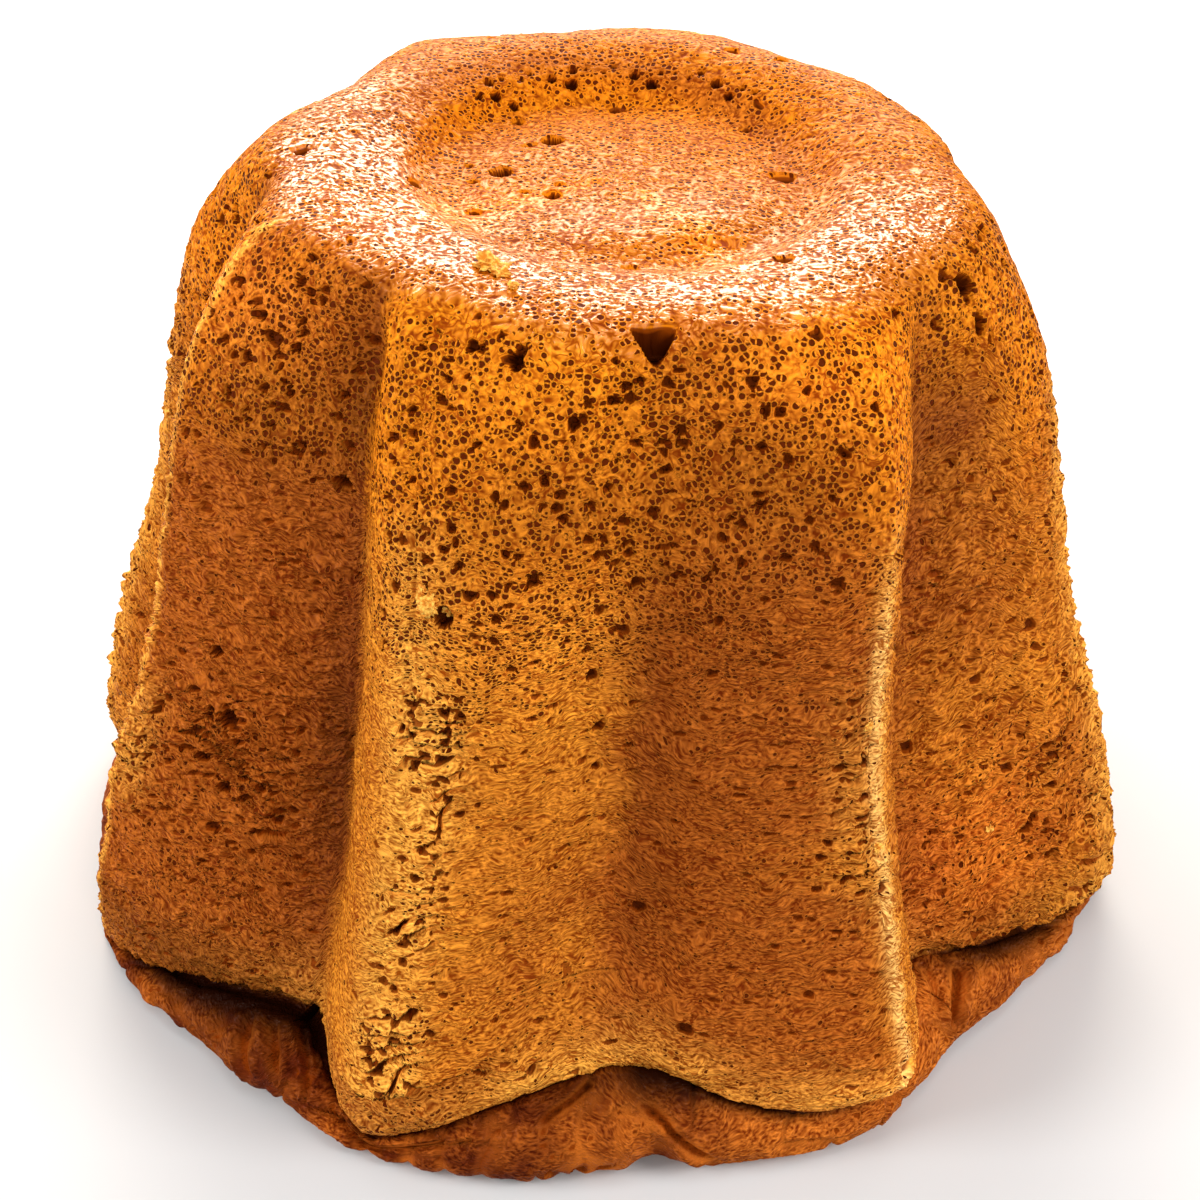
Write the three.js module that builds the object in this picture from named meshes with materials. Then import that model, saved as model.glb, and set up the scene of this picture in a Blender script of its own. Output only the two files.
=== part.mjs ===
// A pandoro: a tall star-shaped sweet loaf, turned out of its mould and standing on its foot.
// Millimetres, +Z up. The origin is on the floor, under the middle of the foot, and the
// front of the loaf faces -Y. The whole loaf is one solid: eight lobes with valleys
// between them, a domed top with a shallow round dimple, and a rolled foot of dark crust.

import * as THREE from 'three';

// ---------- Driving dimensions ----------

const LOBE_COUNT = 8;
const CREST_HEIGHT = 151; // highest ring of the top, above the floor, before it tilts
const DIMPLE_RADIUS = 31.5; // crease around the floor of the dimple
const DIMPLE_DEPTH = 6; // crease below the crest
const DIMPLE_RISE = 1.4; // middle of its floor above the crease
const DIMPLE_SHIFT = 3; // its middle behind the middle of the crest
const CREST_RADIUS = 51; // ring where the top is highest
const FOOT_RADIUS = 108; // outer edge of the foot crust, under a lobe
const FOOT_RADIUS_VALLEY = 104; // the same, under a valley
const GOLDEN_EDGE_HEIGHT = 11; // lower edge of the golden side, on a lobe
const GOLDEN_EDGE_HEIGHT_VALLEY = 15; // the same, in a valley
const LEAN = new THREE.Vector2(5, -3); // sideways shift of the crest over the foot
const TILT = 0.035; // fall of the top for each millimetre to the right

// Each lobe's ridge: its turn from the front (degrees, anticlockwise from above), how much
// further it reaches out than the profile (near the foot, near the shoulder, at the rolled
// foot crust below it and at the waist), how far the golden edge drops, and how many
// degrees the ridge turns on towards the top.
const LOBES = [
  { turn: -97.5, low: 2.5, high: 2, foot: 0, waist: 0, drop: 4, twist: 0 },
  { turn: -66.5, low: 0.5, high: 1.5, foot: 0.5, waist: -0.5, drop: 8, twist: 0 },
  { turn: -23.5, low: -3.5, high: -8.5, foot: -3.5, waist: 0, drop: 3.5, twist: -5 },
  { turn: 30, low: -1, high: 1.5, foot: -2.5, waist: -5, drop: -6, twist: 2 },
  { turn: 73.5, low: 2, high: -3, foot: 0, waist: 0, drop: 5, twist: 0 },
  { turn: 121, low: 0, high: -7, foot: -1.5, waist: 0, drop: 3, twist: 3 },
  { turn: 168, low: -1, high: -2, foot: 0, waist: 1, drop: 5, twist: -3 },
  { turn: 215, low: 1, high: 5, foot: -0.5, waist: -1, drop: 2, twist: 2 },
];

// The valley after each lobe: degrees off half way, reach of the foot crust, drop of the
// golden edge, degrees it turns towards the top and towards the foot, and how far the
// golden edge fills it.
const VALLEYS = [
  { shift: 0, foot: 1, drop: 2, twist: 0, swing: 0, fill: 0 },
  { shift: 5, foot: -1.5, drop: 1, twist: -0.5, swing: 3, fill: 0.5 },
  { shift: 1.2, foot: -5.5, drop: -4, twist: 0.5, swing: -1, fill: 0 },
  { shift: -8, foot: -6, drop: -0.5, twist: 6, swing: 0, fill: -4 },
  { shift: 0, foot: -1, drop: 2, twist: 0, swing: 0, fill: 0 },
  { shift: -1, foot: -0.5, drop: 0, twist: 0, swing: 0, fill: 1 },
  { shift: 1, foot: -2, drop: 3, twist: 0, swing: 0, fill: 0 },
  { shift: 0, foot: -0.5, drop: 1, twist: 0, swing: 0, fill: 1 },
];

// Where the golden edge sags or is drawn up between ridges: the turn and half width of the
// sag in degrees, and its drop.
const SAGS = [
  { turn: 20, width: 8, drop: 3.5 },
  { turn: -8, width: 9, drop: -3.5 },
];

// Roundness of the star: near 1 a ridge or valley is sharp, near 0 it is a soft wave.
const RIDGE_SHARPNESS = 0.975;
const VALLEY_SHARPNESS = 0.74;
const SHOULDER_SPREAD = 0.35; // share of a lobe's shoulder reach that its valleys follow

// Mesh fineness
const COLUMNS_PER_FLANK = 6; // between a ridge and the next valley
const COLUMN_SKEW = 0.3; // pulls the columns towards the ridge, where the bend is tight

// ---------- Profile ----------

const DIMPLE_HEIGHT = CREST_HEIGHT - DIMPLE_DEPTH;

/**
 * One point of the profile on a ridge and in a valley, and the rows of mesh up to the next.
 * The shares say how much of each of a lobe's or valley's own amounts is added there.
 */
function station(rows, ridge, valley, shares = {}) {
  const { lobe = 0, foot = 0, drop = 0, twist = 0, swing = 0, waist = 0, shift = 0 } = shares;
  return { rows, values: [...ridge, ...valley, lobe, foot, drop, twist, swing, waist, shift] };
}

/** A station of the top, with the same radius and height all the way round. */
function ring(rows, radius, height, shares) {
  return station(rows, [radius, height], [radius, height], shares);
}

/** A station of the golden side, which follows its lobe. */
function side(rows, ridge, valley, shares) {
  return station(rows, ridge, valley, { lobe: 1, ...shares });
}

/** A station of the rolled foot crust, which has an outline of its own. */
function foot(rows, ridge, valley, shares) {
  return station(rows, ridge, valley, { foot: 1, swing: 1, ...shares });
}

// From the middle of the dimple over the shoulder and down to the golden side's edge,
// then in under it, and round the rolled foot crust to the flat underside.
const PROFILE = [
  ring(2, 2.5, DIMPLE_HEIGHT + DIMPLE_RISE, { shift: 1 }),
  ring(2, 19, DIMPLE_HEIGHT + DIMPLE_RISE - 0.5, { shift: 1 }),
  ring(2, DIMPLE_RADIUS, DIMPLE_HEIGHT, { shift: 0.9 }),
  ring(2, DIMPLE_RADIUS + 8, CREST_HEIGHT - 1.9, { shift: 0.35 }),
  ring(2, CREST_RADIUS, CREST_HEIGHT, { lobe: 0.2, twist: 0.3 }),
  side(4, [63, 147.8], [60, 147.3], { lobe: 0.6, twist: 1 }),
  side(3, [74.5, 132], [63.5, 132], { lobe: 0.95, twist: 0.7 }),
  side(4, [81, 111], [65, 111], { twist: 0.3, waist: 0.6 }),
  side(4, [88.5, 75], [69.5, 75], { twist: 0.05, waist: 1 }),
  side(4, [99, 45], [75, 46], { swing: 0.2, waist: 0.7 }),
  side(3, [106, 21], [84, 25], { drop: 0.5, swing: 0.7, waist: 0.1 }),
  side(2, [107, GOLDEN_EDGE_HEIGHT], [87.5, GOLDEN_EDGE_HEIGHT_VALLEY], { drop: 1, swing: 1 }),
  side(2, [103, 7.5], [86.5, 11], { drop: 0.85, swing: 1 }),
  foot(2, [FOOT_RADIUS - 2.5, 6.8], [FOOT_RADIUS_VALLEY - 10, 12.5], { drop: 0.75 }),
  foot(2, [FOOT_RADIUS, 4], [FOOT_RADIUS_VALLEY - 2, 8.5], { drop: 0.4 }),
  foot(2, [FOOT_RADIUS - 0.5, 1.5], [FOOT_RADIUS_VALLEY, 3.5], { drop: 0.1 }),
  foot(1, [FOOT_RADIUS - 3.5, 0], [FOOT_RADIUS_VALLEY - 3.5, 0]),
];

/** Catmull-Rom value between b and c, with a before and d after, at t from 0 to 1. */
function catmullRom(a, b, c, d, t) {
  const linear = c - a;
  const square = 2 * a - 5 * b + 4 * c - d;
  const cube = 3 * b - a - 3 * c + d;
  return 0.5 * (2 * b + linear * t + square * t * t + cube * t * t * t);
}

/** The mesh rows: the values of each, smooth through every station. */
function profileRows(stations) {
  const rows = [];
  const last = stations.length - 1;
  for (let i = 0; i < last; i += 1) {
    const before = stations[Math.max(i - 1, 0)].values;
    const from = stations[i].values;
    const to = stations[i + 1].values;
    const after = stations[Math.min(i + 2, last)].values;
    for (let k = 0; k < stations[i].rows; k += 1) {
      const t = k / stations[i].rows;
      rows.push(from.map((value, n) => catmullRom(before[n], value, to[n], after[n], t)));
    }
  }
  rows.push(stations[last].values);
  return rows;
}

// ---------- Star ----------

/** Ridge weight from 0 in the valley to 1 on the ridge: a triangle wave with rounded ends. */
function ridgeWeight(t) {
  const sharpness = THREE.MathUtils.lerp(VALLEY_SHARPNESS, RIDGE_SHARPNESS, t);
  return 0.5 * (1 - Math.asin(sharpness * Math.cos(Math.PI * t)) / Math.asin(sharpness));
}

/** The turn of the valley that follows lobe i. */
function valleyTurn(i) {
  const next = (i + 1) % LOBE_COUNT;
  const wrap = next === 0 ? 360 : 0;
  return (LOBES[i].turn + LOBES[next].turn + wrap) / 2 + VALLEYS[i].shift;
}

/** Reach of the valley after lobe i near the shoulder: its two lobes pull it along a little. */
function valleyHigh(i) {
  const next = (i + 1) % LOBE_COUNT;
  return SHOULDER_SPREAD * (LOBES[i].high + LOBES[next].high) / 2;
}

/** How far the golden edge sags at a turn: the sum of a bell curve for each sag. */
function sagAt(turn) {
  const depths = SAGS.map((sag) => sag.drop * Math.exp(-(((turn - sag.turn) / sag.width) ** 2)));
  return depths.reduce((sum, depth) => sum + depth, 0);
}

/** One column at nearness t to its ridge: its turn, its ridge weight and its own amounts. */
function starColumn(lobe, valleyIndex, turnOfValley, t) {
  const { lerp } = THREE.MathUtils;
  const valley = VALLEYS[valleyIndex];
  const turn = lerp(turnOfValley, lobe.turn, t);
  return {
    turn,
    weight: ridgeWeight(t),
    low: lobe.low * t * t,
    high: lerp(valleyHigh(valleyIndex), lobe.high, t * t),
    foot: lerp(valley.foot, lobe.foot, t),
    drop: lerp(valley.drop, lobe.drop, t * t) + sagAt(turn),
    twist: lerp(valley.twist, lobe.twist, t),
    swing: valley.swing * (1 - t),
    fill: valley.fill * (1 - t) * (1 - t),
    waist: lobe.waist * t * t,
  };
}

/** Columns round the loaf: for each lobe, up from one valley and down to the next. */
function starColumns() {
  const columns = [];
  LOBES.forEach((lobe, i) => {
    const last = (i + LOBE_COUNT - 1) % LOBE_COUNT;
    const before = valleyTurn(last) - (i === 0 ? 360 : 0);
    const after = valleyTurn(i);
    for (let k = 0; k < 2 * COLUMNS_PER_FLANK; k += 1) {
      const rising = k < COLUMNS_PER_FLANK;
      const even = rising ? k / COLUMNS_PER_FLANK : 2 - k / COLUMNS_PER_FLANK;
      const t = even + COLUMN_SKEW * even * (1 - even);
      columns.push(starColumn(lobe, rising ? last : i, rising ? before : after, t));
    }
  });
  return columns;
}

// ---------- Surface ----------

/** Where one profile row crosses one column. */
function surfacePoint(row, column) {
  const { lerp, clamp, degToRad } = THREE.MathUtils;
  const [ridgeRadius, ridgeHeight, valleyRadius, valleyHeight] = row;
  const [lobe, foot, drop, twist, swing, waist, shift] = row.slice(4);
  const height = lerp(valleyHeight, ridgeHeight, column.weight);
  const rise = clamp(height / CREST_HEIGHT, 0, 1);
  const radius = lerp(valleyRadius, ridgeRadius, column.weight)
    + lobe * lerp(column.low, column.high, rise) + foot * column.foot
    + drop * column.fill + waist * column.waist;
  const angle = degToRad(column.turn + twist * column.twist + swing * column.swing - 90);
  const x = radius * Math.cos(angle) + LEAN.x * rise;
  const y = radius * Math.sin(angle) + LEAN.y * rise + shift * DIMPLE_SHIFT;
  const z = Math.max(height - drop * column.drop, 0) - TILT * x * rise ** 6;
  return new THREE.Vector3(x, y, z);
}

/** The closed loaf: rings of points from the top pole down to the pole of the underside. */
function loafGeometry() {
  const rows = profileRows(PROFILE);
  const columns = starColumns();
  const middleOfTop = ring(1, 0, DIMPLE_HEIGHT + DIMPLE_RISE, { shift: 1 });
  const topPole = surfacePoint(middleOfTop.values, columns[0]);
  const points = [topPole];
  rows.forEach((row) => columns.forEach((column) => points.push(surfacePoint(row, column))));
  points.push(new THREE.Vector3(0, 0, 0));

  const around = columns.length;
  const at = (ringIndex, k) => 1 + ringIndex * around + (k % around);
  const bottomPole = points.length - 1;
  const index = [];
  for (let k = 0; k < around; k += 1) {
    index.push(0, at(0, k), at(0, k + 1));
    for (let i = 0; i < rows.length - 1; i += 1) {
      index.push(at(i, k), at(i + 1, k), at(i + 1, k + 1));
      index.push(at(i, k), at(i + 1, k + 1), at(i, k + 1));
    }
    index.push(at(rows.length - 1, k), bottomPole, at(rows.length - 1, k + 1));
  }

  const geometry = new THREE.BufferGeometry();
  geometry.setAttribute('position', new THREE.Float32BufferAttribute(
    points.flatMap((point) => point.toArray()), 3,
  ));
  geometry.setIndex(index);
  geometry.computeBoundingBox();
  const middle = geometry.boundingBox.getCenter(new THREE.Vector3());
  geometry.translate(-middle.x, -middle.y, 0);
  geometry.computeVertexNormals();
  return geometry;
}

// ---------- Model ----------

const crust = new THREE.MeshStandardMaterial({ color: 0xb9651c, roughness: 0.7, metalness: 0 });
const loaf = new THREE.Mesh(loafGeometry(), crust);
loaf.name = 'loaf';

const pandoro = new THREE.Group();
pandoro.name = 'pandoro';
pandoro.add(loaf);

export default pandoro;
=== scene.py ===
# %% [markdown]
# # A pandoro
# A pandoro is a tall sweet loaf baked in a deep star-shaped mould and turned out upside
# down, so the flat end of the mould becomes its top and the open end its wide foot.
# This lesson builds the crust as one fine surface worked out with numpy, and finishes it
# with a procedural material. First the construction model is loaded: it fixes where the
# loaf stands and how big it is, and everything else is placed in its frame.

# %% Load the fixed frame
import math

import bpy
import numpy as np
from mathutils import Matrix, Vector


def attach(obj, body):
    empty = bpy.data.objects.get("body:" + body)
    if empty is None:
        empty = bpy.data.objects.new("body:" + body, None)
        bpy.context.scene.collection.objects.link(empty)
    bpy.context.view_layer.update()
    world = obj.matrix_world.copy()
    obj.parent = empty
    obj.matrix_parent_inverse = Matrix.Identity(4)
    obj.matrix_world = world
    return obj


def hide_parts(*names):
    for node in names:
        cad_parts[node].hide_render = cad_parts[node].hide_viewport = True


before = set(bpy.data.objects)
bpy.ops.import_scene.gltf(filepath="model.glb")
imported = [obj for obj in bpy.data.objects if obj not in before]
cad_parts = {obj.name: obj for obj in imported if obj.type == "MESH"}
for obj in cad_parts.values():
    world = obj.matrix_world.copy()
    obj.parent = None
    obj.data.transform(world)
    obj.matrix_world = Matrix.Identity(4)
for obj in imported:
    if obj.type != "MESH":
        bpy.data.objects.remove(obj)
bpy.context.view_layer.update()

MM = 0.001  # one millimetre, in Blender's metres

# %% [markdown]
# ## The camera
# The loaf is seen from in front and well above, close enough that its foot looks wider
# than its top. A camera aims along its own -Z axis, so it is turned to look from its
# place towards a target inside the loaf.

# %% Camera
CAMERA_DISTANCE = 379.6 * MM
CAMERA_RISE = math.radians(39.2)
CAMERA_TARGET = np.array([2.2, 0.0, 49.8]) * MM
LENS = 55.6  # millimetres, on a sensor 36 mm wide


def add(name, data):
    """A new object in the scene, made from a mesh, a lamp or a camera."""
    made = bpy.data.objects.new(name, data)
    bpy.context.scene.collection.objects.link(made)
    return made


camera_data = bpy.data.cameras.new("camera")
camera_data.lens = LENS
camera_data.sensor_width = 36.0
camera_data.clip_start = 0.01
camera = add("camera", camera_data)
step_back = np.array([0.0, -math.cos(CAMERA_RISE), math.sin(CAMERA_RISE)])
camera.location = CAMERA_TARGET + CAMERA_DISTANCE * step_back
camera.rotation_euler = (math.pi / 2 - CAMERA_RISE, 0.0, 0.0)
bpy.context.scene.camera = camera
print("camera at", tuple(round(x, 3) for x in camera.location))

# %% [markdown]
# ## The outline of the loaf
# The mould gives the loaf its form: a profile that runs from the middle of the top, over
# the shoulder and down the side, and a star that says how far the side pulls in between
# two lobes. The profile is held by a few stations, each with its place on a ridge and in
# a valley, and a smooth curve is run through them. No two lobes are quite alike, because
# the dough fills the mould unevenly and settles as it cools.

# %% Stations and lobes
CREST = 151.0  # height of the top's highest ring, mm like all sizes here
LEAN = (5.0, -3.0)  # the crest stands this far to the side of the foot
DIMPLE_SHIFT = 3.0  # the dimple lies this far behind the middle of the crest
TILT = 0.035  # the top falls this much for each mm to the right

# ridge radius, ridge height, valley radius, valley height, then the shares that these
# have there: a lobe's reach, the foot's reach, the edge's drop, the extra turns at the top
# and at the foot, the extra reach at the waist
STATIONS = np.array([
    [2.5, 146.4, 2.5, 146.4, 0, 0, 0, 0, 0, 0],  # middle of the dimple
    [19.0, 145.9, 19.0, 145.9, 0, 0, 0, 0, 0, 0],
    [31.5, 145.0, 31.5, 145.0, 0, 0, 0, 0, 0, 0],  # crease round the dimple
    [39.5, 149.1, 39.5, 149.1, 0, 0, 0, 0, 0, 0],
    [51.0, 151.0, 51.0, 151.0, 0.2, 0, 0, 0.3, 0, 0],  # crest
    [63.0, 147.8, 60.0, 147.3, 0.6, 0, 0, 1, 0, 0],
    [74.5, 132.0, 63.5, 132.0, 0.95, 0, 0, 0.7, 0, 0],  # shoulder
    [81.0, 111.0, 65.0, 111.0, 1, 0, 0, 0.3, 0, 0.6],
    [88.5, 75.0, 69.5, 75.0, 1, 0, 0, 0.05, 0, 1],  # waist
    [99.0, 45.0, 75.0, 46.0, 1, 0, 0, 0, 0.2, 0.7],
    [106.0, 21.0, 84.0, 25.0, 1, 0, 0.5, 0, 0.7, 0.1],  # flare
    [107.0, 11.0, 87.5, 15.0, 1, 0, 1, 0, 1, 0],  # lower edge of the golden side
    [103.0, 7.5, 86.5, 11.0, 1, 0, 0.85, 0, 1, 0],  # tucked in under it
    [105.5, 6.8, 94.0, 12.5, 0, 1, 0.75, 0, 1, 0],  # top of the rolled foot
    [108.0, 4.0, 102.0, 8.5, 0, 1, 0.4, 0, 1, 0],
    [107.5, 1.5, 104.0, 3.5, 0, 1, 0.1, 0, 1, 0],
    [104.5, 0.0, 100.5, 0.0, 0, 1, 0, 0, 1, 0],  # on the floor
])
CREST_STATION, TUCK_STATION, FLOOR_STATION = 4, 12, 16

# turn from the front, extra reach low, extra reach high, foot reach, drop of the edge,
# extra turn of the ridge at the top, extra reach at the waist
LOBES = np.array([
    [-97.5, 2.5, 2.0, 0.0, 4.0, 0.0, 0.0],
    [-66.5, 0.5, 1.5, 0.5, 8.0, 0.0, -0.5],
    [-23.5, -3.5, -8.5, -3.5, 3.5, -5.0, 0.0],
    [30.0, -1.0, 1.5, -2.5, -6.0, 2.0, -5.0],
    [73.5, 2.0, -3.0, 0.0, 5.0, 0.0, 0.0],
    [121.0, 0.0, -7.0, -1.5, 3.0, 3.0, 0.0],
    [168.0, -1.0, -2.0, 0.0, 5.0, -3.0, 1.0],
    [215.0, 1.0, 5.0, -0.5, 2.0, 2.0, -1.0],
])
# after each lobe: degrees off half way, foot reach, drop of the edge, extra turn of the
# valley at the top and at the foot, how far it is filled at the edge
VALLEYS = np.array([
    [0.0, 1.0, 2.0, 0.0, 0.0, 0.0],
    [5.0, -1.5, 1.0, -0.5, 3.0, 0.5],
    [1.2, -5.5, -4.0, 0.5, -1.0, 0.0],
    [-8.0, -6.0, -0.5, 6.0, 0.0, -4.0],
    [0.0, -1.0, 2.0, 0.0, 0.0, 0.0],
    [-1.0, -0.5, 0.0, 0.0, 0.0, 1.0],
    [1.0, -2.0, 3.0, 0.0, 0.0, 0.0],
    [0.0, -0.5, 1.0, 0.0, 0.0, 1.0],
])
RIDGE_SHARPNESS, VALLEY_SHARPNESS = 0.975, 0.74  # 0 would be round, 1 a point
RIDGE_CROWDING = 0.3  # how much closer the columns stand at a ridge
SHOULDER_SPREAD = 0.35  # part of the two lobes' high reach that their valley takes on
SAGS = np.array([[20.0, 8.0, 3.5], [-8.0, 9.0, -3.5]])  # where the edge drops: turn, width, drop
LOBE_COUNT = len(LOBES)
HALVES = 2 * LOBE_COUNT  # half lobes, each from a valley to a ridge

next_turn = np.append(LOBES[1:, 0], LOBES[0, 0] + 360)
valley_turn = (LOBES[:, 0] + next_turn) / 2 + VALLEYS[:, 0]
next_high = np.roll(LOBES[:, 2], -1)
valley_high = SHOULDER_SPREAD * (LOBES[:, 2] + next_high) / 2
print("lobes at", LOBES[:, 0], "valleys at", valley_turn)


# %% The smooth body
def step(value, low, high):
    """Smooth step: 0 below low, 1 above high, and an S between."""
    t = np.clip((value - low) / (high - low), 0, 1)
    return t * t * (3 - 2 * t)


def hill(value, middle, width, power=2):
    """1 at the middle and near 0 beyond the width: exp(-((value - middle) / width)^power).
    With a power of 4 it is flatter on top and steeper at the sides."""
    return np.exp(-(((value - middle) / width) ** power))


def catmull_rom(values, where):
    """A smooth curve through rows of values: between rows b and c, with a before and d
    after, it is half of 2b + (c-a)t + (2a-5b+4c-d)t² + (3b-a-3c+d)t³."""
    last = len(values) - 1
    start = np.clip(np.floor(where).astype(int), 0, last - 1)
    t = (where - start)[..., None]
    a = values[np.maximum(start - 1, 0)]
    b, c = values[start], values[start + 1]
    d = values[np.minimum(start + 2, last)]
    cubic = 3 * b - a - 3 * c + d
    return 0.5 * (2 * b + (c - a) * t + (2 * a - 5 * b + 4 * c - d) * t**2 + cubic * t**3)


def star(around):
    """Where a column stands. around counts half lobes: 0 is the valley before the first
    lobe, 1 its ridge, 2 the next valley. Gives turn, nearness to the ridge (0 to 1), the
    lobe's number, the ridge weight, the reaches low, high and at the foot, the drop of the
    edge, the extra turns at top and foot, the filling of the valley and the extra reach
    at the waist."""
    around = np.mod(around, HALVES)
    lobe = (around // 2).astype(int)
    rising = around % 2 < 1
    near = np.where(rising, around % 2, 2 - around % 2)
    near = near + RIDGE_CROWDING * near * (1 - near)
    valley = np.where(rising, lobe - 1, lobe) % LOBE_COUNT
    wrap = np.where(rising & (lobe == 0), -360.0, 0.0)
    turn = valley_turn[valley] + wrap
    turn = turn + (LOBES[lobe, 0] - turn) * near
    sharp = VALLEY_SHARPNESS + (RIDGE_SHARPNESS - VALLEY_SHARPNESS) * near
    weight = 0.5 * (1 - np.arcsin(sharp * np.cos(np.pi * near)) / np.arcsin(sharp))
    ridge, dip = np.moveaxis(LOBES[lobe], -1, 0), np.moveaxis(VALLEYS[valley], -1, 0)
    low = ridge[1] * near**2
    high = valley_high[valley] + (ridge[2] - valley_high[valley]) * near**2
    foot = dip[1] + (ridge[3] - dip[1]) * near
    drop = dip[2] + (ridge[4] - dip[2]) * near**2
    for middle, width, depth in SAGS:
        drop = drop + depth * hill(turn, middle, width)
    twist = dip[3] + (ridge[5] - dip[3]) * near
    swing = dip[4] * (1 - near)
    fill = dip[5] * (1 - near) ** 2
    waist = ridge[6] * near**2
    return turn, near, lobe, weight, low, high, foot, drop, twist, swing, fill, waist


def body(around, along):
    """Points of the smooth loaf, in millimetres: the profile at `along` (in stations),
    blended from valley to ridge by the ridge weight, pushed out by the lobe's reach,
    turned to the column's place and leaned over, with the dimple moved to the back."""
    turn, near, lobe, weight, low, high, foot, drop, twist, swing, fill, waist = star(around)
    profile = np.moveaxis(catmull_rom(STATIONS, along), -1, 0)
    ridge_radius, ridge_height, radius, height, of_lobe, of_foot, of_edge = profile[:7]
    of_twist, of_swing, of_waist = profile[7:]
    radius = radius + (ridge_radius - radius) * weight
    height = height + (ridge_height - height) * weight
    rise = np.clip(height / CREST, 0, 1)
    height = np.maximum(height - of_edge * drop, 0)
    radius = radius + of_lobe * (low + (high - low) * rise) + of_foot * foot
    radius = radius + of_edge * fill + of_waist * waist
    angle = np.radians(turn + of_twist * twist + of_swing * swing)
    east = radius * np.sin(angle) + LEAN[0] * rise
    north = -radius * np.cos(angle) + LEAN[1] * rise
    north = north + DIMPLE_SHIFT * (1 - step(along, 1.5, CREST_STATION))
    height = height - TILT * east * rise**6
    return np.stack([east, north, height], -1)


all_round = np.linspace(0, HALVES, 640)
all_down_side = np.linspace(CREST_STATION, FLOOR_STATION, 200)
sample = body(*np.meshgrid(all_round, all_down_side)).reshape(-1, 3)
MIDDLE = (sample.min(0) + sample.max(0)) / 2 * [1, 1, 0]
print("smooth body, mm:", np.ptp(sample, axis=0), "middle", MIDDLE)

# %% [markdown]
# ## Randomness that repeats
# Crumb is random but the script has to give the same loaf each time, so all randomness
# comes from one block of numbers made from a fixed seed. The block is repeated through
# space like tiles. Two tools read it: a soft cloud that swells and sinks smoothly, and
# scattered bubbles, which is what crumb is made of: wherever a bubble was cut by the
# mould's wall, a round pore is left in the crust.

# %% Noise
BLOCK = 64  # numbers along each side of the random block
random_block = np.random.default_rng(7).random((BLOCK, BLOCK, BLOCK, 4), dtype=np.float32)
random_rows = random_block.reshape(-1, 4)
CORNERS = np.array([[i, j, k] for i in (0, 1) for j in (0, 1) for k in (0, 1)])


def lattice(cells):
    """Four random numbers for each whole-numbered cell, from the repeated block."""
    x, y, z = np.moveaxis(cells & (BLOCK - 1), -1, 0)
    return random_rows[(x * BLOCK + y) * BLOCK + z]


def cloud(points, size, layer=0):
    """Soft noise from -1 to 1 with swellings about `size` across: random values on the
    corners of a grid, mixed by each point's distance to them along a smooth step."""
    place = points / size + 17.3 * (layer + 1)
    cell = np.floor(place).astype(np.int64)
    part = place - cell
    part = part * part * (3 - 2 * part)
    total = 0.0
    for corner in CORNERS:
        share = np.prod(np.where(corner, part, 1 - part), axis=-1)
        total = total + share * lattice(cell + corner)[..., layer % 4]
    return 2 * total - 1


def cells(points, size, layer=0):
    """Crumb cells as packed bubbles: a point belongs to the nearest of many scattered
    centres, one in each cell of a grid, and the difference to its second nearest is 0 on
    the wall between two bubbles and grows inwards. Gives that difference, in parts of the
    size, and each bubble's own chance from 0 to 1."""
    place = points / size + 9.7 * (layer + 1)
    base = np.floor(place - 0.5).astype(np.int64)
    first = np.full(len(points), 9.0)
    second, chance = first.copy(), first.copy()
    for corner in CORNERS:
        cell = base + corner
        draw = lattice(cell)
        gap = np.sqrt(((place - cell - 0.5 - 0.7 * (draw[:, :3] - 0.5)) ** 2).sum(-1))
        closer = gap < first
        second = np.where(closer, first, np.minimum(second, gap))
        chance = np.where(closer, draw[:, 3], chance)
        first = np.where(closer, gap, first)
    return second - first, chance


# %% [markdown]
# ## The grid under the crust
# The whole crust is one grid of points. Its columns run down the side, its rings go
# round, and in the middle of the top every second column stops where the rings get short,
# so the triangles stay about the same size. They are fine enough to hold single pores.

# %% Rings of points
SPACING = 0.4  # between rings, mm
LOBE_COLUMNS = 216  # columns across one lobe
AROUND = LOBE_COUNT * LOBE_COLUMNS


def spaced(first, last):
    """Places along the profile from one station to another, about SPACING apart."""
    fine = np.linspace(first, last, 4000)
    row = catmull_rom(STATIONS, fine)[:, :2]
    length = np.append(0, np.cumsum(np.hypot(*np.diff(row, axis=0).T)))
    return np.interp(np.linspace(0, length[-1], int(length[-1] / SPACING) + 2), length, fine)


side_along = spaced(CREST_STATION, FLOOR_STATION)
top_along = spaced(0, CREST_STATION)[::-1][1:]
ring_along, ring_count = list(side_along), [AROUND] * len(side_along)
count = AROUND // 2
for along in top_along:
    radius = catmull_rom(STATIONS, np.array([along]))[0, 0]
    if 2 * math.pi * radius / count < 0.6 * SPACING:
        count //= 2
    ring_along.append(along)
    ring_count.append(count)
ring_start = np.append(0, np.cumsum(ring_count))
along = np.repeat(ring_along, ring_count)
around = np.concatenate([np.arange(n) * (HALVES / n) for n in ring_count])
print(len(side_along), "rings down the side,", len(top_along), "on the top,", len(along), "points")


# %% Triangles between rings
def ring_faces(outer, inner):
    """Triangles between two rings. The ring nearer the middle of the top, `inner`, has as
    many points as the outer one, or half as many, and then each of its points serves two."""
    if len(inner) == len(outer):
        a, b, c, d = outer, np.roll(outer, -1), np.roll(inner, -1), inner
        return np.concatenate([np.stack([a, b, c], 1), np.stack([a, c, d], 1)])
    a, b, c = outer[::2], outer[1::2], np.roll(outer[::2], -1)
    d, e = inner, np.roll(inner, -1)
    return np.concatenate([np.stack(t, 1) for t in ((a, b, d), (b, e, d), (b, c, e))])


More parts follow.
